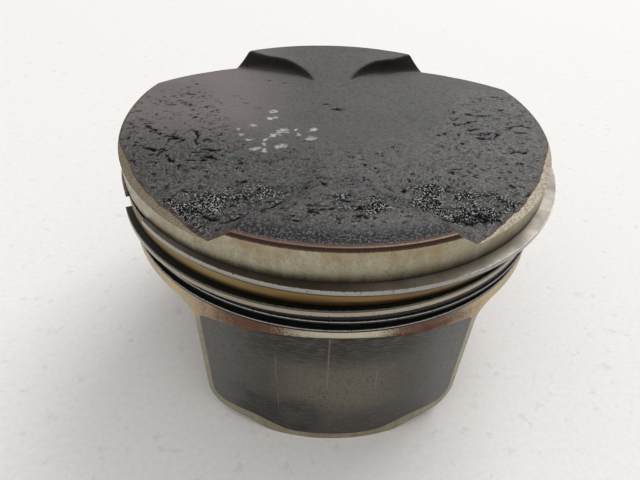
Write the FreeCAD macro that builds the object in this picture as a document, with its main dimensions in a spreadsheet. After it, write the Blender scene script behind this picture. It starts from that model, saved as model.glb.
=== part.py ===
"""Four-stroke motorcycle piston with its rings, gudgeon pin and circlips.

Frame: origin at the middle of the gudgeon pin's axis, +X along that axis, +Z towards the crown.
The -Y side is the side with the two smaller valve pockets. All sizes are in millimetres.
"""
import FreeCAD
import Part
import Sketcher

import math
import os
import re

Vector = FreeCAD.Vector

# Driving dimensions: alias, value.
DIMENSIONS = [
    # overall
    ("land_radius", 33.25),
    ("skirt_radius", 33.45),
    ("crown_height", 26.0),
    ("foot_depth", 13.5),
    ("rim_bevel", 0.4),
    # ring belt, counted down from the crown
    ("top_land", 4.88),
    ("second_land", 3.0),
    ("third_land", 1.42),
    ("ring_play", 0.03),
    ("top_ring_height", 0.8),
    ("second_ring_height", 1.2),
    ("rail_height", 0.42),
    ("expander_height", 1.14),
    ("rail_play", 0.015),
    ("groove_floor", 30.1),
    ("fourth_land", 2.0),
    # inside
    ("crown_thickness", 6.6),
    ("belt_inner", 26.4),
    ("skirt_wall", 2.4),
    ("belt_run_in", 5.0),
    ("under_crown_bevel", 3.0),
    # skirts and side walls
    ("skirt_half_width", 19.85),
    ("skirt_shoulder", 2.8),
    ("side_wall", 2.4),
    ("wall_top_half", 16.9),
    ("wall_end", 26.05),
    ("arch_start", 23.05),
    ("arch_tuck", 1.2),
    ("corner_rise", 4.9),
    ("corner_radius", 3.6),
    ("foot_half_width", 9.5),
    # pin bosses
    ("pin_radius", 8.5),
    ("pin_hollow", 5.5),
    ("pin_half_length", 21.0),
    ("pin_play", 0.015),
    ("boss_radius", 12.2),
    ("boss_inner", 10.5),
    ("boss_outer", 24.0),
    ("pillar_half_width", 8.6),
    ("pillar_tuck", 0.4),
    ("bore_chamfer", 0.8),
    # circlips
    ("clip_wire", 0.6),
    ("clip_radius", 8.62),
    ("clip_groove_radius", 9.24),
    ("clip_side_play", 0.05),
    # compression and oil rings
    ("ring_wall", 2.3),
    ("top_ring_radius", 34.1),
    ("second_ring_radius", 33.4),
    ("rail_radius", 33.3),
    ("expander_radius", 32.9),
    ("face_crown", 0.06),
    ("hook_depth", 0.3),
    ("slot_half_width", 0.45),
    # crown
    ("dish_depth", 1.6),
    ("dish_radius", 26.0),
    ("pocket_lift", 5.0),
    ("ridge_drop", 0.34),
    ("past_rim", 42.0),
    # rear valve pockets, from their ridge: floor, then the same place pocket_lift higher
    ("rear_ridge", 12.0),
    ("rear_front_edge", 11.6),
    ("rear_round_start", 15.3),
    ("rear_round_across", 2.9),
    ("rear_round_across_top", 2.4),
    ("rear_round_up", 0.8),
    ("rear_round_up_top", 1.3),
    ("rear_wall_across", 12.5),
    ("rear_wall_up", 12.9),
    ("rear_wall_up_top", 13.9),
    ("rear_wall_rim", 23.8),
    ("rear_wall_rim_top", 40.6),
    # front valve pockets, the same way
    ("front_ridge", 9.5),
    ("front_back_edge", 5.0),
    ("front_side_across", 3.0),
    ("front_side_across_top", 2.3),
    ("front_round_start", 25.0),
    ("front_round_across", 5.2),
    ("front_round_across_top", 4.3),
    ("front_round_down", 31.8),
    ("front_round_down_top", 32.0),
    ("front_wall_across", 11.5),
    ("front_wall_across_top", 9.7),
    ("front_wall_down", 36.1),
    ("front_wall_down_top", 36.2),
    ("front_mouth_across", 28.5),
    ("front_mouth_across_top", 9.2),
    ("front_mouth_down", 46.6),
    ("front_mouth_down_top", 54.5),
    ("drain_radius", 0.9),
    ("oil_hole_radius", 1.0),
]

doc = FreeCAD.newDocument("Piston")
sheet = doc.addObject("Spreadsheet::Sheet", "Sizes")
for row, (alias, number) in enumerate(DIMENSIONS, start=1):
    sheet.set(f"A{row}", alias)
    sheet.set(f"B{row}", str(number))
    sheet.setAlias(f"B{row}", alias)
doc.recompute()

probe = doc.addObject("App::FeaturePython", "Probe")
probe.addProperty("App::PropertyFloat", "Reading")


def bound(text):
    """The text of an expression with each alias pointing at the sheet."""
    return re.sub(r"\b([a-z][a-z_]+)\b(?!\()", r"Sizes.\1", text)


def reading(text):
    """The present value of an expression in the sheet's aliases."""
    probe.setExpression("Reading", bound(text))
    probe.recompute()
    return float(probe.Reading)


def ring_belt():
    """Each groove's upper edge and its height, from the crown down, and the belt's lower edge."""
    belt = (
        ("top", "top_land", "top_ring_height + 2*ring_play"),
        ("second", "second_land", "second_ring_height + 2*ring_play"),
        ("oil", "third_land", "2*rail_height + expander_height + 4*rail_play"),
    )
    grooves = {}
    above = "crown_height"
    for name, land, height in belt:
        top = f"{above} - {land}"
        grooves[name] = (top, height)
        above = f"{top} - ({height})"
    return grooves, f"{above} - fourth_land"


# Heights that several features share, as expressions.
GROOVES, BELT_FOOT = ring_belt()
UNDER_CROWN = "crown_height - crown_thickness"

# Where the oil drains lie round the oil groove, in degrees, and how many slots the expander has.
DRAIN_AZIMUTHS = (20, 40, 140, 160, 200, 220, 320, 340)
SLOT_COUNT = 45
# How far round its groove a circlip's wire reaches, in degrees.
CLIP_SWEEP = 318.0


def origin_plane(body, role):
    """One of the body's own origin planes."""
    return next(item for item in body.Origin.OriginFeatures if item.Role == role)


def new_body(name):
    """An empty body whose label names its file."""
    body = doc.addObject("PartDesign::Body", name)
    body.Label = name
    return body


def new_sketch(body, name, plane, offset=None):
    """A sketch on one of the body's origin planes, moved and turned by offset."""
    sketch = body.newObject("Sketcher::SketchObject", name)
    sketch.AttachmentSupport = (origin_plane(body, plane), [""])
    sketch.MapMode = "FlatFace"
    if offset is not None:
        sketch.AttachmentOffset = offset
    return sketch


def constrain(sketch, constraints, bindings):
    """Add all constraints at once, then bind them: bindings pairs a place in the list with an expression."""
    first = sketch.ConstraintCount
    sketch.addConstraint(constraints)
    for place, text in bindings:
        sketch.setExpression(f"Constraints[{first + place}]", bound(text))


def pin_down(constraints, bindings, geometry, point, across, up):
    """Hold one point of a sketch at two expressions."""
    for kind, text in (("DistanceX", across), ("DistanceY", up)):
        bindings.append((len(constraints), text))
        constraints.append(Sketcher.Constraint(kind, geometry, point, reading(text)))


def outline(sketch, corners):
    """A closed outline through corners, given as expressions: (across, up) ends a straight edge, and
    (across, up, via across, via up) ends an arc that passes through the second point."""
    places = [Vector(reading(corner[0]), reading(corner[1]), 0) for corner in corners]
    edges = []
    for number, corner in enumerate(corners):
        start, end = places[number - 1], places[number]
        ends = (1, 2)
        if len(corner) == 4:
            via = Vector(reading(corner[2]), reading(corner[3]), 0)
            edge = Part.Arc(start, via, end)
            if (via - start).cross(end - start).z < 0:
                # the sketch keeps arcs counter-clockwise, so this one is drawn from its other end
                edge = Part.Arc(end, via, start)
                ends = (2, 1)
        else:
            edge = Part.LineSegment(start, end)
        edges.append((sketch.addGeometry(edge, False), ends))
    constraints, bindings = [], []
    for number, (index, ends) in enumerate(edges):
        following, following_ends = edges[(number + 1) % len(edges)]
        constraints.append(Sketcher.Constraint("Coincident", index, ends[1], following, following_ends[0]))
        pin_down(constraints, bindings, index, ends[1], corners[number][0], corners[number][1])
        if len(corners[number]) == 4:
            # one coordinate of the centre settles the arc between its two ends
            chord = places[number] - places[number - 1]
            centre = sketch.Geometry[index].Center
            kind, value = ("DistanceX", centre.x) if abs(chord.y) > abs(chord.x) else ("DistanceY", centre.y)
            constraints.append(Sketcher.Constraint(kind, index, 3, value))
    constrain(sketch, constraints, bindings)


def ring_of(sketch, across, up, radius):
    """A circle at two expressions."""
    centre = Vector(reading(across), reading(up), 0)
    index = sketch.addGeometry(Part.Circle(centre, Vector(0, 0, 1), reading(radius)), False)
    constraints, bindings = [], []
    pin_down(constraints, bindings, index, 3, across, up)
    bindings.append((len(constraints), radius))
    constraints.append(Sketcher.Constraint("Radius", index, reading(radius)))
    constrain(sketch, constraints, bindings)


def negative(text):
    """The same expression with its sign changed."""
    return f"-({text})"


def mirrored_across(corners):
    """The outline's corners on the other side of the upright axis."""
    flipped = []
    for corner in corners:
        flipped.append(tuple(negative(v) if place % 2 == 0 else v for place, v in enumerate(corner)))
    return flipped


def turn(body, kind, sketch, axis, angle=360.0):
    """A revolution or groove of a sketch about one of its own axes."""
    feature = body.newObject(kind, f"{sketch.Name}Turned")
    feature.Profile = sketch
    feature.ReferenceAxis = (sketch, [axis])
    feature.Angle = angle
    feature.Midplane = True
    doc.recompute()
    return feature


def pad(body, sketch, length):
    """A pad of a sketch along its normal."""
    feature = body.newObject("PartDesign::Pad", f"{sketch.Name}Pad")
    feature.Profile = sketch
    feature.setExpression("Length", bound(length))
    doc.recompute()
    return feature


def mirror_sides(body, feature):
    """The feature repeated on the other side of the YZ plane."""
    mirror = body.newObject("PartDesign::Mirrored", f"{feature.Name}Mirrored")
    mirror.Originals = [feature]
    mirror.MirrorPlane = (origin_plane(body, "YZ_Plane"), [""])
    body.Tip = mirror
    doc.recompute()
    return mirror


def cut(body, sketch, length=None, reverse=False, both_ways=False):
    """A pocket of a sketch, which has to take material away."""
    before = body.Shape.Volume
    feature = body.newObject("PartDesign::Pocket", f"{sketch.Name}Pocket")
    feature.Profile = sketch
    feature.Reversed = reverse
    feature.Midplane = both_ways
    if length is None:
        feature.Type = "ThroughAll"
    else:
        feature.setExpression("Length", bound(length))
    doc.recompute()
    if body.Shape.Volume > before - 1e-3:
        raise RuntimeError(f"{sketch.Name} cuts nothing")
    return feature


def piston_blank(body):
    """Crown, lands, grooves and skirts turned as one round blank."""
    corners = [
        ("0", "crown_height"),
        ("land_radius - rim_bevel", "crown_height"),
        ("land_radius", "crown_height - rim_bevel"),
    ]
    for top, height in GROOVES.values():
        corners += [
            ("land_radius", top),
            ("groove_floor", top),
            ("groove_floor", f"{top} - ({height})"),
            ("land_radius", f"{top} - ({height})"),
        ]
    corners += [
        ("land_radius", f"{BELT_FOOT} + 0.3*fourth_land"),
        ("skirt_radius", BELT_FOOT),
        ("skirt_radius", "-foot_depth"),
        ("0", "-foot_depth"),
    ]
    sketch = new_sketch(body, "Blank", "XZ_Plane")
    outline(sketch, corners)
    turn(body, "PartDesign::Revolution", sketch, "V_Axis")


def piston_inside(body):
    """The hollow under the crown and between the skirts."""
    corners = [
        ("0", "-foot_depth - 1"),
        ("skirt_radius - skirt_wall", "-foot_depth - 1"),
        ("skirt_radius - skirt_wall", f"{BELT_FOOT} - belt_run_in"),
        ("belt_inner", BELT_FOOT),
        ("belt_inner", f"{UNDER_CROWN} - under_crown_bevel"),
        ("belt_inner - under_crown_bevel", UNDER_CROWN,
         "belt_inner - 0.29*under_crown_bevel", f"{UNDER_CROWN} - 0.29*under_crown_bevel"),
        ("0", UNDER_CROWN),
    ]
    sketch = new_sketch(body, "Hollow", "XZ_Plane")
    outline(sketch, corners)
    turn(body, "PartDesign::Groove", sketch, "V_Axis")


def skirt_sides(body):
    """The sides are cut away beside the skirts, with a shoulder under the belt and a raised lower edge."""
    beyond = "land_radius + 8"
    corners = [
        (beyond, "-foot_depth - 1"),
        (beyond, BELT_FOOT),
        ("skirt_half_width + skirt_shoulder", BELT_FOOT),
        ("skirt_half_width", f"{BELT_FOOT} - skirt_shoulder",
         "skirt_half_width + 0.293*skirt_shoulder", f"{BELT_FOOT} - 0.293*skirt_shoulder"),
        ("skirt_half_width", "-foot_depth + corner_rise"),
        ("skirt_half_width - corner_radius", "-foot_depth + 0.32*corner_rise",
         "skirt_half_width - 0.29*corner_radius", "-foot_depth + 0.5*corner_rise"),
        ("foot_half_width + corner_radius", "-foot_depth + 0.27*corner_rise"),
        ("foot_half_width", "-foot_depth"),
        ("foot_half_width", "-foot_depth - 1"),
    ]
    sketch = new_sketch(body, "Sides", "XZ_Plane")
    outline(sketch, corners)
    outline(sketch, mirrored_across(corners))
    cut(body, sketch, both_ways=True)


def side_walls(body):
    """Flat walls that tie the two skirts to the bosses, arched between skirt and boss."""
    arch = ("0.5*(arch_start + boss_radius - arch_tuck)", "-0.2*boss_radius")
    half = [
        ("wall_top_half", f"{UNDER_CROWN} + 0.5"),
        ("wall_top_half", f"{BELT_FOOT} + 0.5"),
        ("wall_end", f"{BELT_FOOT} - 1"),
        ("wall_end", "-foot_depth + corner_rise"),
        ("arch_start", "-foot_depth + corner_rise"),
        ("boss_radius - arch_tuck", "-0.45*boss_radius") + arch,
    ]
    other = mirrored_across(half)
    other_arch = other[4][:2] + other[5][2:]
    corners = half + [other[5][:2], other_arch] + other[3::-1]
    offset = FreeCAD.Placement(Vector(0, 0, reading("skirt_half_width - side_wall")), FreeCAD.Rotation())
    sketch = new_sketch(body, "SideWall", "YZ_Plane", offset)
    sketch.setExpression("AttachmentOffset.Base.z", bound("skirt_half_width - side_wall"))
    outline(sketch, corners)
    mirror_sides(body, pad(body, sketch, "side_wall"))


def pin_bosses(body):
    """A boss each side of the connecting rod, each carried by a pillar from the crown."""
    offset = FreeCAD.Placement(Vector(0, 0, reading("boss_inner")), FreeCAD.Rotation())
    boss = new_sketch(body, "Boss", "YZ_Plane", offset)
    boss.setExpression("AttachmentOffset.Base.z", bound("boss_inner"))
    ring_of(boss, "0", "0", "boss_radius")
    mirror_sides(body, pad(body, boss, "boss_outer - boss_inner"))
    pillar = new_sketch(body, "Pillar", "YZ_Plane", offset)
    pillar.setExpression("AttachmentOffset.Base.z", bound("boss_inner"))
    outline(pillar, [
        ("pillar_half_width", "0.5*boss_radius"),
        ("pillar_half_width", f"{UNDER_CROWN} + 0.8"),
        ("-pillar_half_width", f"{UNDER_CROWN} + 0.8"),
        ("-pillar_half_width", "0.5*boss_radius"),
    ])
    mirror_sides(body, pad(body, pillar, "skirt_half_width - boss_inner - pillar_tuck"))


def pin_bore(body):
    """The bore for the pin, its clip grooves, the clip removal notches and the oil holes."""
    bore = new_sketch(body, "PinBore", "YZ_Plane")
    ring_of(bore, "0", "0", "pin_radius + pin_play")
    cut(body, bore, both_ways=True)
    near = "pin_half_length + clip_side_play"
    groove = new_sketch(body, "ClipGroove", "XZ_Plane")
    corners = [
        (near, "0.9*pin_radius"),
        (near, "clip_groove_radius"),
        (f"{near} + 2*clip_wire + clip_side_play", "clip_groove_radius"),
        (f"{near} + 2*clip_wire + clip_side_play", "0.9*pin_radius"),
    ]
    outline(groove, corners)
    outline(groove, mirrored_across(corners))
    turn(body, "PartDesign::Groove", groove, "H_Axis")
    mouth = new_sketch(body, "BoreMouth", "XZ_Plane")
    corners = [
        ("boss_outer - bore_chamfer", "pin_radius - 1"),
        ("boss_outer - bore_chamfer", "pin_radius + pin_play"),
        ("boss_outer + 0.2", "pin_radius + pin_play + 1"),
        ("boss_outer + 0.2", "pin_radius - 1"),
    ]
    outline(mouth, corners)
    outline(mouth, mirrored_across(corners))
    turn(body, "PartDesign::Groove", mouth, "H_Axis")
    inside_groove = f"{near} + clip_wire"
    for side in (1, -1):
        offset = FreeCAD.Placement(Vector(0, 0, side * reading(inside_groove)), FreeCAD.Rotation())
        notch = new_sketch(body, "ClipNotch", "YZ_Plane", offset)
        notch.setExpression("AttachmentOffset.Base.z", bound(f"{side}*({inside_groove})"))
        outline(notch, [
            ("-2*clip_wire", "-0.8*pin_radius"),
            ("-2*clip_wire", "-clip_groove_radius"),
            ("2*clip_wire", "-clip_groove_radius", "0", "-clip_groove_radius - 1.4*clip_wire"),
            ("2*clip_wire", "-0.8*pin_radius"),
        ])
        cut(body, notch, "boss_outer - pin_half_length", reverse=side > 0)
    oil = new_sketch(body, "BossOil", "XY_Plane")
    for side in ("", "-"):
        ring_of(oil, f"{side}0.5*(boss_inner + boss_outer)", "0", "oil_hole_radius")
    cut(body, oil, "boss_radius + 1")


def drain_holes(body):
    """Radial holes that let oil back from the oil groove to the inside."""
    top, height = GROOVES["oil"]
    for azimuth in DRAIN_AZIMUTHS:
        offset = FreeCAD.Placement(Vector(0, 0, 0), FreeCAD.Rotation(Vector(0, 1, 0), azimuth))
        sketch = new_sketch(body, f"Drain{azimuth}", "XZ_Plane", offset)
        ring_of(sketch, "0", f"{top} - 0.5*({height})", "drain_radius")
        cut(body, sketch, reverse=True)


def crown_dish(body):
    """A shallow round dish in the middle of the crown."""
    sketch = new_sketch(body, "Dish", "XZ_Plane")
    outline(sketch, [
        ("0", "crown_height - dish_depth"),
        ("dish_radius", "crown_height", "0.5*dish_radius", "crown_height - 0.75*dish_depth"),
        ("dish_radius", "crown_height + 1"),
        ("0", "crown_height + 1"),
    ])
    turn(body, "PartDesign::Groove", sketch, "V_Axis")


def valve_pockets(body, name, tilt, ridge, floor_corners, top_corners):
    """A pocket each side with a tilted floor, open to the rim, whose walls lean outwards.

    The corners are measured from the ridge, a line along X at the tilted floor's height.
    """
    tilted = FreeCAD.Rotation(Vector(1, 0, 0), tilt)
    foot = Vector(0, reading(ridge), reading("crown_height - ridge_drop"))
    levels = []
    for level, lift, corners in (("Floor", "0", floor_corners), ("Top", "pocket_lift", top_corners)):
        place = FreeCAD.Placement(foot + tilted.multVec(Vector(0, 0, reading(lift))), tilted)
        sketch = new_sketch(body, f"{name}{level}", "XY_Plane", place)
        outline(sketch, corners)
        levels.append(sketch)
    before = body.Shape.Volume
    loft = body.newObject("PartDesign::SubtractiveLoft", f"{name}Loft")
    loft.Profile = levels[0]
    loft.Sections = [(levels[1], [""])]
    loft.Ruled = True
    doc.recompute()
    if body.Shape.Volume > before - 1:
        raise RuntimeError(f"{name} cuts nothing")
    mirror_sides(body, loft)


def rear_pockets(body):
    """The larger pair: round beside the middle, then a straight wall that runs out to the rim."""
    floor, top = (
        [
            ("rear_round_start", "-rear_front_edge", f"rear_round_across{level}", f"rear_round_up{level}"),
            ("past_rim", "-rear_front_edge"),
            ("past_rim", f"rear_wall_rim{level}"),
            ("rear_wall_across", f"rear_wall_up{level}"),
        ]
        for level in ("", "_top")
    )
    valve_pockets(body, "RearPocket", -10.4, "rear_ridge", floor, top)


def front_pockets(body):
    """The smaller pair, whose nearly level floor runs back to the ridge."""
    floor, top = (
        [
            (f"front_side_across{level}", "-front_round_start",
             f"front_round_across{level}", f"-front_round_down{level}"),
            (f"front_side_across{level}", "front_back_edge"),
            ("past_rim", "front_back_edge"),
            ("past_rim", f"-front_mouth_down{level}"),
            (f"front_mouth_across{level}", f"-front_mouth_down{level}"),
            (f"front_wall_across{level}", f"-front_wall_down{level}"),
        ]
        for level in ("", "_top")
    )
    valve_pockets(body, "FrontPocket", 3.0, "front_ridge", floor, top)


def piston_body():
    """The piston itself: one forging, machined all over."""
    body = new_body("piston_body")
    piston_blank(body)
    piston_inside(body)
    skirt_sides(body)
    side_walls(body)
    pin_bosses(body)
    pin_bore(body)
    drain_holes(body)
    crown_dish(body)
    rear_pockets(body)
    front_pockets(body)


def split_ring(name, section, level, gap_azimuth, gap_angle, shift, shift_azimuth):
    """A split ring in its open, unloaded state, lying to one side in its groove.

    section holds the corners of its cross-section; azimuths are counted from -Y towards +X.
    """
    body = new_body(name)
    sketch = new_sketch(body, f"{name}_section", "XZ_Plane")
    outline(sketch, section)
    turn(body, "PartDesign::Revolution", sketch, "V_Axis", 360.0 - gap_angle)
    lean = math.radians(shift_azimuth)
    centre = Vector(shift * math.sin(lean), -shift * math.cos(lean), reading(level))
    # the section is turned evenly both ways from +X, so the gap starts out at -X
    body.Placement = FreeCAD.Placement(centre, FreeCAD.Rotation(Vector(0, 0, 1), gap_azimuth + 90.0))
    body.setExpression("Placement.Base.z", bound(level))
    return body


def top_ring():
    """Rectangular ring with a barrel-shaped chromed face."""
    inner = "top_ring_radius - ring_wall"
    section = [
        (inner, "0"),
        ("top_ring_radius - face_crown", "0"),
        ("top_ring_radius - face_crown", "top_ring_height", "top_ring_radius", "0.5*top_ring_height"),
        (inner, "top_ring_height"),
    ]
    top, height = GROOVES["top"]
    split_ring("top_compression_ring", section, f"{top} - ({height}) + ring_play",
               gap_azimuth=-57.5, gap_angle=12.5, shift=0.95, shift_azimuth=48)


def second_ring():
    """Taper-faced scraper ring with a hook under its face."""
    inner = "second_ring_radius - ring_wall"
    section = [
        (inner, "0"),
        ("second_ring_radius - 1.5*hook_depth", "0"),
        ("second_ring_radius - hook_depth", "0.22*second_ring_height"),
        ("second_ring_radius", "0.22*second_ring_height"),
        ("second_ring_radius - 0.05", "second_ring_height"),
        (inner, "second_ring_height"),
    ]
    top, height = GROOVES["second"]
    split_ring("second_compression_ring", section, f"{top} - ({height}) + ring_play",
               gap_azimuth=-73.5, gap_angle=13.5, shift=0.9, shift_azimuth=-35)


def oil_ring():
    """Two thin rails with the expander between them."""
    top, height = GROOVES["oil"]
    floor = f"{top} - ({height}) + rail_play"
    inner = "rail_radius - ring_wall + 0.2"
    rail = [
        (inner, "0"),
        ("rail_radius - 0.05", "0"),
        ("rail_radius - 0.05", "rail_height", "rail_radius", "0.5*rail_height"),
        (inner, "rail_height"),
    ]
    split_ring("oil_rail_lower", rail, floor,
               gap_azimuth=165, gap_angle=7.0, shift=0.25, shift_azimuth=-20)
    split_ring("oil_rail_upper", rail, f"{floor} + rail_height + expander_height + 2*rail_play",
               gap_azimuth=-150, gap_angle=7.0, shift=0.25, shift_azimuth=30)
    expander_inner = "expander_radius - ring_wall"
    section = [
        (expander_inner, "0"),
        ("expander_radius", "0"),
        ("expander_radius", "0.2*expander_height"),
        ("expander_radius - 0.6", "0.2*expander_height"),
        ("expander_radius - 0.6", "0.8*expander_height"),
        ("expander_radius", "0.8*expander_height"),
        ("expander_radius", "expander_height"),
        (expander_inner, "expander_height"),
    ]
    body = split_ring("oil_expander", section, f"{floor} + rail_height + rail_play",
                      gap_azimuth=180, gap_angle=1.5, shift=0.0, shift_azimuth=0)
    slot = new_sketch(body, "Slot", "XZ_Plane")
    outline(slot, [
        ("-slot_half_width", "0.32*expander_height"),
        ("slot_half_width", "0.32*expander_height"),
        ("slot_half_width", "0.68*expander_height"),
        ("-slot_half_width", "0.68*expander_height"),
    ])
    first = cut(body, slot, reverse=True)
    pattern = body.newObject("PartDesign::PolarPattern", "Slots")
    pattern.Originals = [first]
    pattern.Axis = (origin_plane(body, "Z_Axis"), [""])
    pattern.Angle = 360.0
    pattern.Occurrences = SLOT_COUNT
    body.Tip = pattern
    doc.recompute()


def gudgeon_pin():
    """Hollow ground pin with lightening tapers at both ends of its bore."""
    body = new_body("gudgeon_pin")
    half = [
        ("pin_radius - 0.3", "pin_half_length"),
        ("pin_hollow + 1.3", "pin_half_length"),
        ("pin_hollow", "0.62*pin_half_length"),
    ]
    corners = [("pin_radius", "pin_half_length - 0.3")] + half
    lower = [(across, negative(up)) for across, up in reversed(corners)]
    sketch = new_sketch(body, "PinSection", "XZ_Plane")
    outline(sketch, corners + lower)
    turn(body, "PartDesign::Revolution", sketch, "V_Axis")
    body.Placement = FreeCAD.Placement(Vector(), FreeCAD.Rotation(Vector(0, 1, 0), 90))


def circlip(name, side):
    """Round-wire clip in its groove, with its gap away from the removal notch."""
    body = new_body(name)
    sketch = new_sketch(body, f"{name}_wire", "XZ_Plane")
    ring_of(sketch, "clip_radius", "0", "clip_wire")
    turn(body, "PartDesign::Revolution", sketch, "V_Axis", CLIP_SWEEP)
    offset = reading("pin_half_length + clip_side_play + clip_wire")
    body.Placement = FreeCAD.Placement(Vector(side * offset, 0, 0), FreeCAD.Rotation(Vector(0, 1, 0), 90))


def save_parts():
    """Check every object, then write each body to its own file."""
    doc.recompute()
    failed = [item.Name for item in doc.Objects if {"Invalid", "Error"} & set(item.State)]
    bodies = [item for item in doc.Objects if item.TypeId == "PartDesign::Body"]
    failed += [body.Label for body in bodies if body.Shape.isNull() or not body.Shape.isValid()]
    failed += [body.Label for body in bodies if len(body.Shape.Solids) != 1]
    if failed:
        raise RuntimeError(f"failed: {failed}")
    os.makedirs("parts", exist_ok=True)
    for body in bodies:
        body.Shape.exportStep(f"parts/{body.Label}.step")
        size = body.Shape.BoundBox
        print(f"{body.Label}: {body.Shape.Volume:.1f} mm3, z {size.ZMin:.2f} to {size.ZMax:.2f}")


piston_body()
top_ring()
second_ring()
oil_ring()
gudgeon_pin()
circlip("circlip_left", -1)
circlip("circlip_right", 1)
save_parts()
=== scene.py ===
"""Looks of a used motorcycle piston: carbon crust, worn skirt coat, stained metal, rings and studio.

Frame as in the CAD: origin on the pin's axis, +X along the pin, +Z towards the crown, -Y the front.
Blender works in metres; the materials' own coordinates are millimetres.
"""
import math

import bpy
import numpy as np
from mathutils import Matrix, Vector
from mathutils.bvhtree import BVHTree


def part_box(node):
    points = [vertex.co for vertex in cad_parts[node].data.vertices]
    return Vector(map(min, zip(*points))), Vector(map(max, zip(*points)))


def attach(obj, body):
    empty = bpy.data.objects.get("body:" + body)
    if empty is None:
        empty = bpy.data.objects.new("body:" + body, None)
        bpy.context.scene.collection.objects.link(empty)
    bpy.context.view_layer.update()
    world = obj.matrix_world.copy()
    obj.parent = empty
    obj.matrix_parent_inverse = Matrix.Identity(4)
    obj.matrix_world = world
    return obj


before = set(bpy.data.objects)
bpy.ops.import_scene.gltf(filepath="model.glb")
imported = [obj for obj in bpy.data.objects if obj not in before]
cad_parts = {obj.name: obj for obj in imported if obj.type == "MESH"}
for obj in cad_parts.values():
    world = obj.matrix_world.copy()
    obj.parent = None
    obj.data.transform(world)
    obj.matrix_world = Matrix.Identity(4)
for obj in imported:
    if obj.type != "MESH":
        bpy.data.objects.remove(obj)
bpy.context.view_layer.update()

MM = 0.001


def size(node):
    """A node's lowest and highest corner in millimetres."""
    low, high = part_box(node)
    return low / MM, high / MM


# Sizes read off the frame, in millimetres.
BODY_LOW, BODY_HIGH = size("piston_body")
TOP_RING_LOW, TOP_RING_HIGH = size("top_compression_ring")
SECOND_RING_LOW, SECOND_RING_HIGH = size("second_compression_ring")
LOWER_RAIL_LOW = size("oil_rail_lower")[0]
UPPER_RAIL_HIGH = size("oil_rail_upper")[1]
CROWN_Z = BODY_HIGH.z
FOOT_Z = BODY_LOW.z
SKIRT_RADIUS = -BODY_LOW.y
LAND_RADIUS = SKIRT_RADIUS - 0.2
RIM_BEVEL = 0.4
FOURTH_LAND_Z = LOWER_RAIL_LOW.z - 2.0


# ---------------------------------------------------------------- material graphs

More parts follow.
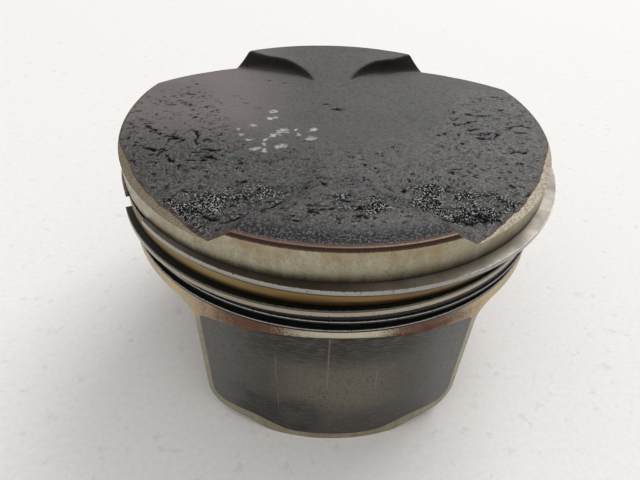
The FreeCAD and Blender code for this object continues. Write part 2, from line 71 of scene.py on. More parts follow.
class Graph:
    """One material's node tree. Any input may be a number, a colour or another node's output."""

    def __init__(self, name):
        self.material = bpy.data.materials.new(name)
        self.material.use_nodes = True
        self.tree = self.material.node_tree
        self.shader = self.tree.nodes["Principled BSDF"]
        metres = self.add("ShaderNodeTexCoord").outputs["Object"]
        self.place = self.stretched((1 / MM,) * 3, metres)
        parts = self.add("ShaderNodeSeparateXYZ", self.place)
        self.x, self.y, self.z = parts.outputs
        self.radius = self.from_point(0.0, 0.0)
        turn = self.math("ARCTAN2", self.x, self.math("MULTIPLY", self.y, -1.0))
        self.azimuth = self.math("MULTIPLY", turn, 180 / math.pi)

    def add(self, kind, *values, **settings):
        """A node with its first inputs filled in order."""
        node = self.tree.nodes.new(kind)
        for key, value in settings.items():
            setattr(node, key, value)
        for socket, value in zip(node.inputs, values):
            self.feed(socket, value)
        return node

    def feed(self, socket, value):
        """Link or set one input; None leaves it alone."""
        if isinstance(value, bpy.types.NodeSocket):
            self.tree.links.new(value, socket)
        elif value is not None:
            socket.default_value = value

    def surface(self, **values):
        """Fill the shader's inputs: base_color, roughness, metallic and so on."""
        for key, value in values.items():
            name = {"ior": "IOR", "specular": "Specular IOR Level"}.get(key, key.replace("_", " ").title())
            if isinstance(value, tuple) and len(value) == 3:
                value = (*value, 1.0)
            self.feed(self.shader.inputs[name], value)

    def math(self, operation, a, b=None):
        return self.add("ShaderNodeMath", a, b, operation=operation).outputs[0]

    def most(self, *masks):
        """The largest of several masks."""
        result = masks[0]
        for mask in masks[1:]:
            result = self.math("MAXIMUM", result, mask)
        return result

    def from_point(self, x, y):
        """Distance in plan from a point."""
        across, along_y = self.math("SUBTRACT", self.x, x), self.math("SUBTRACT", self.y, y)
        squares = self.math("ADD", self.math("POWER", across, 2.0), self.math("POWER", along_y, 2.0))
        return self.math("SQRT", squares)

    def both(self, *masks):
        """The product of several masks."""
        total = masks[0]
        for mask in masks[1:]:
            total = self.math("MULTIPLY", total, mask)
        return total

    def stretched(self, scale, vector=None):
        """The place, or another vector, times a scale along each axis."""
        node = self.add("ShaderNodeVectorMath", vector or self.place, operation="MULTIPLY")
        node.inputs[1].default_value = scale
        return node.outputs[0]

    def ramp(self, value, low, high, out_low=0.0, out_high=1.0):
        """A smooth step of value from low to high."""
        node = self.add("ShaderNodeMapRange", value, low, high, out_low, out_high,
                        interpolation_type="SMOOTHSTEP")
        return node.outputs[0]

    def above(self, value, edge, soft):
        return self.ramp(value, edge - soft, edge + soft)

    def below(self, value, edge, soft):
        return self.ramp(value, edge - soft, edge + soft, 1.0, 0.0)

    def between(self, value, low, high, soft):
        return self.both(self.above(value, low, soft), self.below(value, high, soft))

    def noise(self, size, detail=3.0, roughness=0.55, vector=None):
        """Noise whose lumps are about size millimetres wide, from 0 to 1."""
        node = self.add("ShaderNodeTexNoise", vector or self.place)
        node.inputs["Scale"].default_value = 1.0 / size
        node.inputs["Detail"].default_value = detail
        node.inputs["Roughness"].default_value = roughness
        return node.outputs[0]

    def stored(self, name):
        """A value kept on the mesh's points."""
        return self.add("ShaderNodeAttribute", attribute_name=name).outputs["Fac"]

    def mix(self, share, a, b):
        """Colour a where share is 0 and b where it is 1."""
        node = self.tree.nodes.new("ShaderNodeMix")
        node.data_type = "RGBA"
        for place, value in ((0, share), (6, a), (7, b)):
            if isinstance(value, tuple) and len(value) == 3:
                value = (*value, 1.0)
            self.feed(node.inputs[place], value)
        return node.outputs[2]

    def blend(self, share, a, b):
        """Number a where share is 0 and b where it is 1."""
        node = self.tree.nodes.new("ShaderNodeMix")
        for place, value in ((0, share), (2, a), (3, b)):
            self.feed(node.inputs[place], value)
        return node.outputs[0]

    def bump(self, height, depth, strength=1.0, under=None):
        """A normal from a height that spans depth millimetres."""
        node = self.add("ShaderNodeBump")
        self.feed(node.inputs["Strength"], strength)
        node.inputs["Distance"].default_value = depth * MM
        self.feed(node.inputs["Height"], height)
        self.feed(node.inputs["Normal"], under)
        return node.outputs[0]


def dress(node, material):
    """Give a CAD node one material."""
    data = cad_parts[node].data
    data.materials.clear()
    data.materials.append(material)


# ---------------------------------------------------------------- the piston's metal

PALE_METAL = (0.42, 0.39, 0.29)
GREY_METAL = (0.34, 0.31, 0.21)
GOLD_VARNISH = (0.25, 0.15, 0.04)
RED_VARNISH = (0.085, 0.026, 0.009)
DARK_VARNISH = (0.020, 0.009, 0.005)
OIL_BLACK = (0.006, 0.006, 0.005)


class StainedMetal(Graph):
    """Turned aluminium, the noises that its zones share, and the varnish laid on it zone by zone."""

    def __init__(self, name):
        super().__init__(name)
        self.upright = self.stretched((1.0, 1.0, 0.25))
        self.turned = self.stretched((0.06, 0.06, 1.0))
        self.streaks = self.noise(1.3, 5.0, 0.65, self.upright)
        self.blotches = self.noise(3.2, 5.0, 0.6)
        self.stipple = self.noise(0.28, 2.0, 0.7)
        self.outer = self.above(self.radius, LAND_RADIUS - 0.6, 0.15)
        colour = self.mix(self.ramp(self.streaks, 0.35, 0.7), GREY_METAL, PALE_METAL)
        colour = self.mix(self.both(self.ramp(self.blotches, 0.5, 0.75), 0.35), colour, GOLD_VARNISH)
        self.colour = self.mix(self.ramp(self.stipple, 0.52, 0.66, 0.0, 0.45), colour, (0.19, 0.15, 0.08))
        # how much varnish lies on the metal
        self.film = self.ramp(self.blotches, 0.45, 0.8, 0.0, 0.25)

    def lay(self, share, tint):
        """Varnish of one tint over what is there, where share is 1."""
        self.colour = self.mix(share, self.colour, tint)
        self.film = self.math("MAXIMUM", self.film, share)


def stain_top_land(g):
    """Browner towards its lower edge and along the bare rim."""
    foot = g.math("ADD", g.z, g.math("MULTIPLY", g.streaks, 0.9))
    low_band = g.both(g.below(foot, TOP_RING_HIGH.z + 0.95, 0.45), g.above(g.z, TOP_RING_HIGH.z - 0.1, 0.1))
    g.lay(g.both(g.outer, low_band, 0.75), DARK_VARNISH)
    nearly_rim = g.both(g.outer, g.above(foot, CROWN_Z - 1.3, 0.5), g.ramp(g.blotches, 0.4, 0.65), 0.45)
    g.lay(g.both(nearly_rim, g.below(g.z, CROWN_Z - RIM_BEVEL, 0.05)), (0.30, 0.17, 0.075))


def stain_crown_rim(g):
    """The bevel of the two high segments with a painted highlight along its top edge, and the bare strip
    outside the crust, dulled by heat.
    """
    wavy = g.math("ADD", g.z, g.math("MULTIPLY", g.stipple, 0.10))
    bevel = g.both(g.above(wavy, CROWN_Z - RIM_BEVEL + 0.04, 0.03),
                   g.above(g.radius, LAND_RADIUS - RIM_BEVEL, 0.05))
    g.lay(bevel, (0.028, 0.006, 0.001))
    # a thin pale orange line along the top edge of the bevel: painted highlight
    g.lay(g.both(g.above(g.z, CROWN_Z - 0.03, 0.02), g.below(g.radius, LAND_RADIUS - RIM_BEVEL, 0.05)),
          (0.13, 0.065, 0.035))
    facing_up = g.add("ShaderNodeSeparateXYZ", g.add("ShaderNodeNewGeometry").outputs["Normal"]).outputs[2]
    strip = g.both(g.above(g.radius, LAND_RADIUS - 1.6, 0.1), g.below(g.z, CROWN_Z - 0.3, 0.1),
                   g.above(g.z, CROWN_Z - 4.2, 0.2), g.above(facing_up, 0.7, 0.15))
    heated = g.mix(g.ramp(g.stipple, 0.42, 0.6), (0.15, 0.125, 0.090), (0.085, 0.055, 0.030))
    g.lay(g.both(strip, 0.85), heated)


def stain_second_land(g):
    """Gold, with a burnt line and a painted shade under the top ring."""
    second = g.both(g.outer, g.between(g.z, SECOND_RING_HIGH.z, TOP_RING_LOW.z, 0.05))
    g.lay(second, g.mix(g.ramp(g.noise(0.7, 4.0, 0.6, g.turned), 0.45, 0.75), GOLD_VARNISH, RED_VARNISH))
    g.lay(g.both(second, g.above(g.math("ABSOLUTE", g.azimuth), 20.0, 12.0), 0.75), (0.37, 0.27, 0.115))
    burnt = g.math("ADD", g.z, g.math("MULTIPLY", g.noise(0.7, 4.0, 0.75, g.upright), 1.2))
    burnt_line = g.between(burnt, TOP_RING_LOW.z - 0.45, TOP_RING_LOW.z + 0.10, 0.10)
    g.lay(g.both(second, burnt_line, 0.9), RED_VARNISH)
    # painted shade along the top of the second land, just under the top ring
    g.lay(g.both(second, g.above(g.z, TOP_RING_LOW.z - 0.30, 0.12)), DARK_VARNISH)
    g.lay(g.both(second, g.below(g.z, SECOND_RING_HIGH.z + 0.55, 0.3), 0.8), DARK_VARNISH)


def stain_third_land(g):
    """Black with oil, between the second ring and the oil ring."""
    g.lay(g.both(g.outer, g.between(g.z, UPPER_RAIL_HIGH.z, SECOND_RING_LOW.z, 0.05)), OIL_BLACK)


def stain_fourth_land(g):
    """Bare in the middle, stippled into varnish either side, gold at the shoulders."""
    belt_foot = g.both(g.outer, g.between(g.z, FOURTH_LAND_Z - 2.4, LOWER_RAIL_LOW.z, 0.1))
    g.colour = g.mix(g.both(belt_foot, 0.9), g.colour, (0.58, 0.54, 0.40))
    sideways = g.math("ADD", g.math("ABSOLUTE", g.azimuth), g.math("MULTIPLY", g.stipple, 16.0))
    sideways = g.math("ADD", sideways, g.math("MULTIPLY", g.streaks, 6.0))
    g.lay(g.both(belt_foot, g.above(sideways, 21.5, 5.0)),
          g.mix(g.ramp(g.blotches, 0.3, 0.7), (0.13, 0.058, 0.03), RED_VARNISH))
    g.lay(g.both(belt_foot, g.above(sideways, 42.0, 9.0)),
          g.mix(g.ramp(g.blotches, 0.35, 0.65), (0.56, 0.42, 0.24), (0.44, 0.36, 0.24)))


def stain_grooves(g):
    """Full of burnt oil."""
    in_groove = g.both(g.below(g.radius, LAND_RADIUS - 0.12, 0.06), g.above(g.radius, LAND_RADIUS - 3.6, 0.1),
                       g.between(g.z, LOWER_RAIL_LOW.z - 0.03, TOP_RING_HIGH.z + 0.04, 0.02))
    g.lay(in_groove, OIL_BLACK)


def stain_inside(g):
    """Everything under and inside: cast skin with an oily film. Gives back where that is."""
    inner = g.both(g.below(g.radius, LAND_RADIUS - 0.9, 0.2), g.below(g.z, LOWER_RAIL_LOW.z - 1.4, 0.3))
    under = g.math("MAXIMUM", inner, g.both(g.below(g.radius, LAND_RADIUS - 6.5, 0.2),
                                            g.below(g.z, CROWN_Z - 5.5, 0.3)))
    skin = g.mix(g.ramp(g.noise(6.0, 5.0, 0.6), 0.35, 0.7), (0.30, 0.25, 0.17), (0.20, 0.125, 0.055))
    g.lay(g.both(under, 0.8), skin)
    g.lay(g.both(under, g.above(g.z, 8.0, 6.0), 0.6), (0.11, 0.055, 0.022))
    return under


def piston_metal():
    """Turned aluminium with the varnish and oil of use, each zone laid over the ones before it."""
    g = StainedMetal("stained_aluminium")
    for stain in (stain_top_land, stain_crown_rim, stain_second_land, stain_third_land, stain_fourth_land,
                  stain_grooves):
        stain(g)
    under = stain_inside(g)
    rough = g.ramp(g.noise(0.5, 3.0, 0.6), 0.3, 0.7, 0.34, 0.52)
    grain = g.bump(g.noise(0.35, 3.0, 0.6), 0.03, g.both(under, 0.8))
    lines = g.noise(0.16, 2.0, 0.6, g.turned)
    g.surface(
        base_color=g.colour,
        metallic=g.ramp(g.film, 0.0, 1.0, 0.9, 0.45),
        roughness=g.blend(under, rough, 0.5),
        normal=g.bump(lines, 0.012, g.blend(under, 0.7, 0.0), grain),
    )
    return g.material


# ---------------------------------------------------------------- rings, pin and clips

def ring_metal(name, node, face, face_dark, face_band, top, top_dark, edge, face_rough):
    """A ring with a bright band on its running face, a stained upper side with painted shade on it, and worn
    edges.

    face_band is the bright band's lowest and highest part, as shares of the ring's height."""
    low, high = size(node)
    g = Graph(name)
    # the gaps are narrower than the ring's own half, so its axis is at the middle of its box
    middle = (low + high) / 2
    ring_radius = (high.y - low.y) / 2
    reach = g.from_point(middle.x, middle.y)
    clouds = g.noise(4.0, 4.0, 0.6, g.stretched((1.0, 1.0, 0.3)))
    specks = g.noise(0.3, 3.0, 0.7)
    tall = high.z - low.z
    on_face = g.above(reach, ring_radius - 0.07, 0.02)
    band = g.between(g.z, low.z + face_band[0] * tall, low.z + face_band[1] * tall, 0.05)
    # painted shade where the land overhangs the ring's upper side
    shade_under_land = g.below(g.radius, LAND_RADIUS + 0.10, 0.12)
    # the upper side is darkened as painted shade under the land's overhang and across the front
    front_shade = g.both(g.between(g.azimuth, -35.0, 6.0, 9.0), 0.75)
    upper = g.mix(g.ramp(clouds, 0.35, 0.7), top, g.mix(0.5, top, top_dark))
    upper = g.mix(g.math("MAXIMUM", shade_under_land, front_shade), upper, top_dark)
    # outside the band the face takes face_dark; on the top ring, below the band, that is painted shade
    running = g.mix(g.both(band, g.ramp(specks, 0.30, 0.42)), face_dark, face)
    corner = g.both(g.between(reach, ring_radius - 0.15, ring_radius - 0.05, 0.02),
                    g.above(g.z, high.z - 0.04, 0.02))
    worn = g.both(corner, g.ramp(specks, 0.35, 0.6))
    g.surface(
        base_color=g.mix(worn, g.mix(on_face, upper, running), edge),
        metallic=g.blend(on_face, 0.55, 0.92),
        roughness=g.blend(on_face, g.ramp(clouds, 0.3, 0.7, 0.30, 0.42), face_rough),
        normal=g.bump(g.noise(0.2, 2.0, 0.6, g.stretched((0.05, 0.05, 1.0))), 0.006, 0.6),
    )
    return g.material


def plain_steel(name, light, dark, rough, grain):
    """Steel with faint blotches; grain stretches its fine lines along each axis."""
    g = Graph(name)
    blotches = g.noise(2.5, 4.0, 0.6)
    lines = g.noise(0.2, 3.0, 0.6, g.stretched(grain))
    g.surface(
        base_color=g.mix(g.ramp(blotches, 0.35, 0.7), light, dark),
        metallic=0.95,
        roughness=g.ramp(lines, 0.3, 0.7, rough, rough + 0.12),
        normal=g.bump(lines, 0.008, 0.6),
    )
    return g.material


def oily_black():
    """The expander, soaked in burnt oil."""
    g = Graph("oil_blackened_steel")
    wet = g.noise(1.2, 4.0, 0.6)
    g.surface(
        base_color=g.mix(g.ramp(wet, 0.4, 0.7), (0.004, 0.004, 0.004), (0.014, 0.011, 0.008)),
        metallic=0.5,
        roughness=g.ramp(wet, 0.3, 0.7, 0.45, 0.65),
        normal=g.bump(g.noise(0.3, 3.0, 0.6), 0.02, 0.7),
    )
    return g.material


dress("piston_body", piston_metal())
# the top ring's face is dark below its bright band: painted shade under its lower edge
dress("top_compression_ring", ring_metal(
    "chromed_ring_steel", "top_compression_ring",
    face=(0.31, 0.295, 0.28), face_dark=(0.05, 0.04, 0.03), face_band=(0.26, 1.0),
    top=(0.215, 0.193, 0.158), top_dark=(0.028, 0.021, 0.013), edge=(0.34, 0.32, 0.28), face_rough=0.2))
dress("second_compression_ring", ring_metal(
    "phosphated_ring_iron", "second_compression_ring",
    face=(0.36, 0.31, 0.245), face_dark=(0.075, 0.08, 0.065), face_band=(0.2, 0.74),
    top=(0.020, 0.024, 0.022), top_dark=(0.008, 0.010, 0.009), edge=(0.20, 0.20, 0.17), face_rough=0.33))
for rail in ("oil_rail_upper", "oil_rail_lower"):
    dress(rail, ring_metal(
        rail + "_steel", rail,
        face=(0.50, 0.50, 0.48), face_dark=(0.010, 0.010, 0.009), face_band=(0.78, 1.0),
        top=(0.05, 0.05, 0.05), top_dark=(0.02, 0.02, 0.02), edge=(0.40, 0.40, 0.38), face_rough=0.4))
dress("oil_expander", oily_black())
dress("gudgeon_pin", plain_steel(
    "lapped_pin_steel", (0.60, 0.59, 0.57), (0.42, 0.36, 0.28), 0.16, (1.0, 0.15, 0.15)))
CLIP = plain_steel("blued_clip_wire", (0.22, 0.22, 0.23), (0.10, 0.10, 0.12), 0.3, (1.0, 1.0, 1.0))
dress("circlip_left", CLIP)
dress("circlip_right", CLIP)


# ---------------------------------------------------------------- what the crust and the coats share

def body_faces():
    """The piston body's faces, to cast rays at."""
    return BVHTree.FromObject(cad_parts["piston_body"], bpy.context.evaluated_depsgraph_get())


def sheet(name, x, y, z, material):
    """A smooth sheet from a grid of points in millimetres."""
    index = np.arange(x.size).reshape(x.shape)
    quads = np.stack([index[:-1, :-1], index[1:, :-1], index[1:, 1:], index[:-1, 1:]], -1).reshape(-1, 4)
    mesh = bpy.data.meshes.new(name)
    mesh.from_pydata((np.stack([x, y, z], -1).reshape(-1, 3) * MM).tolist(), [], quads.tolist())
    mesh.shade_smooth()
    mesh.materials.append(material)
    piece = bpy.data.objects.new(name, mesh)
    bpy.context.collection.objects.link(piece)
    return piece


# ---------------------------------------------------------------- carbon crust on the crown

def lumps(x, y, size, seed):
    """Smooth noise from -1 to 1 over the plan, its lumps about size millimetres wide."""
    lattice = np.random.default_rng(seed).uniform(-1.0, 1.0, (256, 256))
    u, v = x / size + 128.0, y / size + 128.0
    i, j = np.floor(u).astype(int), np.floor(v).astype(int)
    s, t = u - i, v - j
    s, t = s * s * (3 - 2 * s), t * t * (3 - 2 * t)
    i, j = i % 255, j % 255
    return ((lattice[i, j] * (1 - s) + lattice[i + 1, j] * s) * (1 - t)
            + (lattice[i, j + 1] * (1 - s) + lattice[i + 1, j + 1] * s) * t)


def rugged(x, y, size, seed, layers=4):
    """Layers of smooth noise, each half the size and strength of the last."""
    return sum(lumps(x, y, size / 2 ** k, seed + k) / 2 ** k for k in range(layers)) / 1.6


def step(value, low, high):
    """A smooth step of an array from 0 at low to 1 at high."""
    t = np.clip((value - low) / (high - low), 0.0, 1.0)
    return t * t * (3 - 2 * t)


def near(x, y, centre, reach):
    """1 at the middle of an ellipse in plan, 0 outside it."""
    return step(1 - np.hypot((x - centre[0]) / reach[0], (y - centre[1]) / reach[1]), 0.0, 0.45)


def along(x, y, points, width):
    """1 on a line through points in plan, 0 at width from it."""
    gap = np.full(x.shape, 1e9)
    for (ax, ay), (bx, by) in zip(points, points[1:]):
        dx, dy = bx - ax, by - ay
        share = np.clip(((x - ax) * dx + (y - ay) * dy) / (dx * dx + dy * dy), 0.0, 1.0)
        gap = np.minimum(gap, np.hypot(x - ax - share * dx, y - ay - share * dy))
    return 1 - step(gap, 0.3 * width, width)


def averaged(grid):
    """Each point of a grid pulled towards its four neighbours."""
    padded = np.pad(grid, 1, mode="edge")
    return (padded[:-2, 1:-1] + padded[2:, 1:-1] + padded[1:-1, :-2] + padded[1:-1, 2:] + 2 * grid) / 6


def highest(grid):
    """Each point of a grid raised to the highest of its four neighbours."""
    padded = np.pad(grid, 1, mode="edge")
    sides = np.maximum(padded[:-2, 1:-1], padded[2:, 1:-1]), np.maximum(padded[1:-1, :-2], padded[1:-1, 2:])
    return np.maximum(grid, np.maximum(*sides))


CRUST_CELLS = 312
BARE_RIM = 1.05           # widest bare strip outside the crust, at the two front quarters
BARE_RIM_AZIMUTHS = (-53.0, 54.0)
BARE_RIM_SPREAD = 27.0
# coarse, crumbly patches: middle and reach in plan
CRUMBS = [((-13.0, -22.5), (8.5, 5.2)), ((12.5, -22.0), (8.5, 5.4)), ((1.5, -24.8), (6.0, 3.2)),
          ((-19.5, -24.5), (6.0, 5.5)), ((19.5, -23.0), (6.0, 4.5))]
# fields of short open cracks in plan: middle, reach, how many, usual length, heading from +X in degrees
CRACK_FIELDS = [((-24.0, -9.0), (6.0, 9.0), 11, 1.7, -25.0),
                ((24.0, -3.0), (6.0, 9.0), 13, 1.6, 15.0),
                ((0.0, -26.0), (8.0, 3.0), 8, 1.8, 0.0)]
CRACK_SEED = 83
# chips where bare metal shows: middle and reach in plan
SCRATCHED_PATCH = ((-8.8, -4.0), (6.4, 7.5))
CHIP_COUNT = 27
CHIP_SEED = 12
GREEN_FLECK = (-15.3, -11.5)                     # one speck of another colour, in plan


def scattered(random, middle, reach):
    """A random spot in an ellipse in plan."""
    out, turn = math.sqrt(random.uniform()), random.uniform(0, 2 * math.pi)
    return middle[0] + reach[0] * out * math.cos(turn), middle[1] + reach[1] * out * math.sin(turn)


def ragged_cracks(x, y, random, middle, reach, count, length, heading):
    """Short cracks scattered over an ellipse in plan, each a few bits that wander round a heading."""
    mask = np.zeros(x.shape)
    for _ in range(count):
        spot = scattered(random, middle, reach)
        points = [spot]
        for _ in range(random.integers(1, 4)):
            way = math.radians(heading + random.uniform(-45, 45))
            bit = length * random.uniform(0.3, 0.7)
            spot = (spot[0] + bit * math.cos(way), spot[1] + bit * math.sin(way))
            points.append(spot)
        mask = np.maximum(mask, along(x, y, points, random.uniform(0.3, 0.5)))
    return mask


def front_edge(x, y, centre, reach):
    """1 on the front edge of an ellipse in plan, where a crumbly patch has lifted from the crust."""
    share = np.hypot((x - centre[0]) / reach[0], (y - centre[1]) / reach[1])
    line = 1 - step(np.abs(share - 0.75) * min(reach), 0.15, 0.5)
    return line * step((centre[1] - y) / reach[1], 0.15, 0.4)


def disc():
    """A square grid pressed into a disc: x and y for a radius of 1, share of the radius, and azimuth."""
    side = np.linspace(-1, 1, CRUST_CELLS + 1)
    a, b = np.meshgrid(side, side, indexing="ij")
    wide = np.abs(a) >= np.abs(b)
    with np.errstate(divide="ignore", invalid="ignore"):
        turn = np.where(wide, math.pi / 4 * np.nan_to_num(b / a),
                        math.pi / 2 - math.pi / 4 * np.nan_to_num(a / b))
    reach = np.where(wide, a, b)
    unit_x, unit_y = reach * np.cos(turn), reach * np.sin(turn)
    return unit_x, unit_y, np.abs(reach), np.degrees(np.arctan2(unit_x, -unit_y))


def crust_end(faces, azimuth, at_front):
    """How far out the crust goes, and 1 where that is at the bevel of the front segment.

    Elsewhere it goes out to the land, or to the bare rim at the two front quarters."""
    def bevelled(degrees):
        angle = math.radians(degrees)
        near_rim = LAND_RADIUS - 0.15
        start = Vector((near_rim * math.sin(angle), -near_rim * math.cos(angle), CROWN_Z + 5)) * MM
        hit = faces.ray_cast(start, Vector((0, 0, -1)))
        return hit[0].z / MM > CROWN_Z - 1.5 * RIM_BEVEL
    high_rim = np.array([bevelled(k / 2 - 180) for k in range(720)], float)
    high_rim = np.interp(azimuth, np.arange(720) / 2 - 180, high_rim) * at_front
    bare = sum(step(1 - np.abs(azimuth - middle) / BARE_RIM_SPREAD, 0.0, 0.6) for middle in BARE_RIM_AZIMUTHS)
    edge_x, edge_y = LAND_RADIUS * np.sin(np.radians(azimuth)), LAND_RADIUS * np.cos(np.radians(azimuth))
    jagged = 0.16 * rugged(edge_x, edge_y, 1.3, 11) * (0.25 + bare)
    ends = LAND_RADIUS - 0.02 - BARE_RIM * bare * (1 - high_rim) - (RIM_BEVEL + 0.12) * high_rim + jagged
    # past the land a ray would meet the skirt's step instead
    return np.minimum(ends, LAND_RADIUS - 0.03), high_rim


def height_of_metal(faces, x, y):
    """The height of the CAD crown under each point in plan."""
    metal = np.empty(x.shape)
    for i, j in np.ndindex(x.shape):
        hit = faces.ray_cast(Vector((x[i, j], y[i, j], CROWN_Z + 5)) * MM, Vector((0, 0, -1)))
        metal[i, j] = hit[0].z / MM
    return metal


def bed(metal, y, inward):
    """What the crust lies on: the crown, its edges softened and its front pockets' corners filled."""
    soft = metal.copy()
    filled = metal.copy()
    for _ in range(14):
        for _ in range(12):
            filled = averaged(filled)
        filled = np.maximum(filled, metal)
    filled += 0.22
    for _ in range(50):
        filled = averaged(filled)
    for _ in range(4):
        soft = averaged(soft)
    front = (1 - step(y, -3.0, 4.0)) * step(inward, 0.4, 3.2)
    return np.maximum(soft * (1 - front) + filled * front, highest(metal))


def cracks(x, y, wander_x, wander_y, rough, patchy):
    """1 in open cracks, along the front edges of the first two crumbly patches, and in dashes and pits."""
    crack = np.zeros(x.shape)
    broken = step(rugged(x, y, 1.4, 43), -0.35, -0.1)
    random = np.random.default_rng(CRACK_SEED)
    for field in CRACK_FIELDS:
        crack = np.maximum(crack, ragged_cracks(wander_x, wander_y, random, *field))
    for patch in CRUMBS[:2]:
        crack = np.maximum(crack, front_edge(wander_x, wander_y, *patch) * broken)
    dashes = step(rugged(x / 1.7, y, 0.62, 41), 0.48, 0.55) * step(rough + 1.3 * patchy, 0.35, 0.8)
    pits = step(rugged(x, y, 0.5, 45), 0.50, 0.58) * rough
    return np.clip(np.maximum(crack, np.maximum(dashes, pits)), 0.0, 1.0)


def chips(x, y):
    """1 in the chips where bare metal shows."""
    random = np.random.default_rng(CHIP_SEED)
    mask = np.zeros(x.shape)
    for _ in range(CHIP_COUNT):
        spot = scattered(random, *SCRATCHED_PATCH)
        chip = near(x, y, spot, (random.uniform(0.25, 0.65), random.uniform(0.3, 0.8)))
        mask = np.maximum(mask, chip * random.uniform(0.6, 1.0))
    return mask


def steep(metal):
    """1 where the crown is steep, as at the pockets' walls, given the height of the metal."""
    rise_x, rise_y = np.gradient(metal)
    return step(np.maximum(np.abs(rise_x), np.abs(rise_y)) / (2 * LAND_RADIUS / CRUST_CELLS), 0.25, 0.6)


def crust():
    """The burnt deposit on the crown: a sheet laid over the CAD crown, thickened and roughened."""
    faces = body_faces()
    unit_x, unit_y, out, azimuth = disc()
    ends, high_rim = crust_end(faces, azimuth, unit_y < 0)
    x, y = unit_x / np.maximum(out, 1e-9) * out * ends, unit_y / np.maximum(out, 1e-9) * out * ends
    metal = height_of_metal(faces, x, y)
    inward = (1 - out) * ends                    # distance in from the crust's edge

    # how rough the deposit is: smooth at the back, rough at the front and sides. Rougher also means darker,
    # and towards the front left that darkening is partly painted shade.
    patchy = rugged(x, y, 6.0, 47)
    rough = np.clip(step(-y, 2.0, 22.0) + 0.9 * step(-x - 0.35 * y, 12.0, 24.0) + 0.75 * step(x, 13.0, 24.0)
                    - 0.7 * step(y, 2.0, 14.0) + 0.35 * patchy, 0.06, 1.0)
    rough *= 1 - 0.8 * high_rim * (1 - step(inward, 2.0, 4.2)) * (y < 0)
    crumb = np.clip(sum(near(x, y, *patch) for patch in CRUMBS), 0.0, 1.0)
    crumb = np.clip(crumb * (0.8 + 1.3 * rugged(x, y, 2.0, 21)), 0.0, 1.0) * step(inward, 0.0, 0.8)
    wander_x, wander_y = x + 0.9 * rugged(x, y, 1.2, 31), y + 0.9 * rugged(x, y, 1.2, 37)
    crack = cracks(x, y, wander_x, wander_y, rough, patchy)
    scratch = chips(wander_x, wander_y)
    # the rear pockets' walls, which the colour darkens as painted shade
    wall = steep(metal) * (y > 0)                # of the rear pockets only
    for _ in range(3):
        wall = averaged(wall)

    broad = 0.06 * rugged(x, y, 7.0, 51) + rough * 0.05 * rugged(x, y, 1.6, 57)
    coarse = crumb * (0.05 + 0.13 * np.abs(rugged(x, y, 1.1, 61)) + 0.12 * rugged(x, y, 0.5, 67))
    grain = rough * 0.05 * rugged(x, y, 0.5, 63)
    thickness = 0.11 + broad + coarse + grain - 0.13 * crack
    z = bed(metal, y, inward) + np.maximum(thickness, 0.02) * step(inward, -0.05, 0.45)
    z[out > 0.9999] = metal[out > 0.9999] - 0.02

    piece = sheet("carbon_crust", x, y, z, crust_material())
    for name, values in (("rough", rough), ("crumb", crumb), ("crack", crack), ("scratch", scratch),
                         ("wall", wall), ("inward", inward), ("high_rim", high_rim)):
        layer = piece.data.attributes.new(name, "FLOAT", "POINT")
        layer.data.foreach_set("value", values.astype(np.float32).ravel())
    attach(piece, "piston")
    return piece


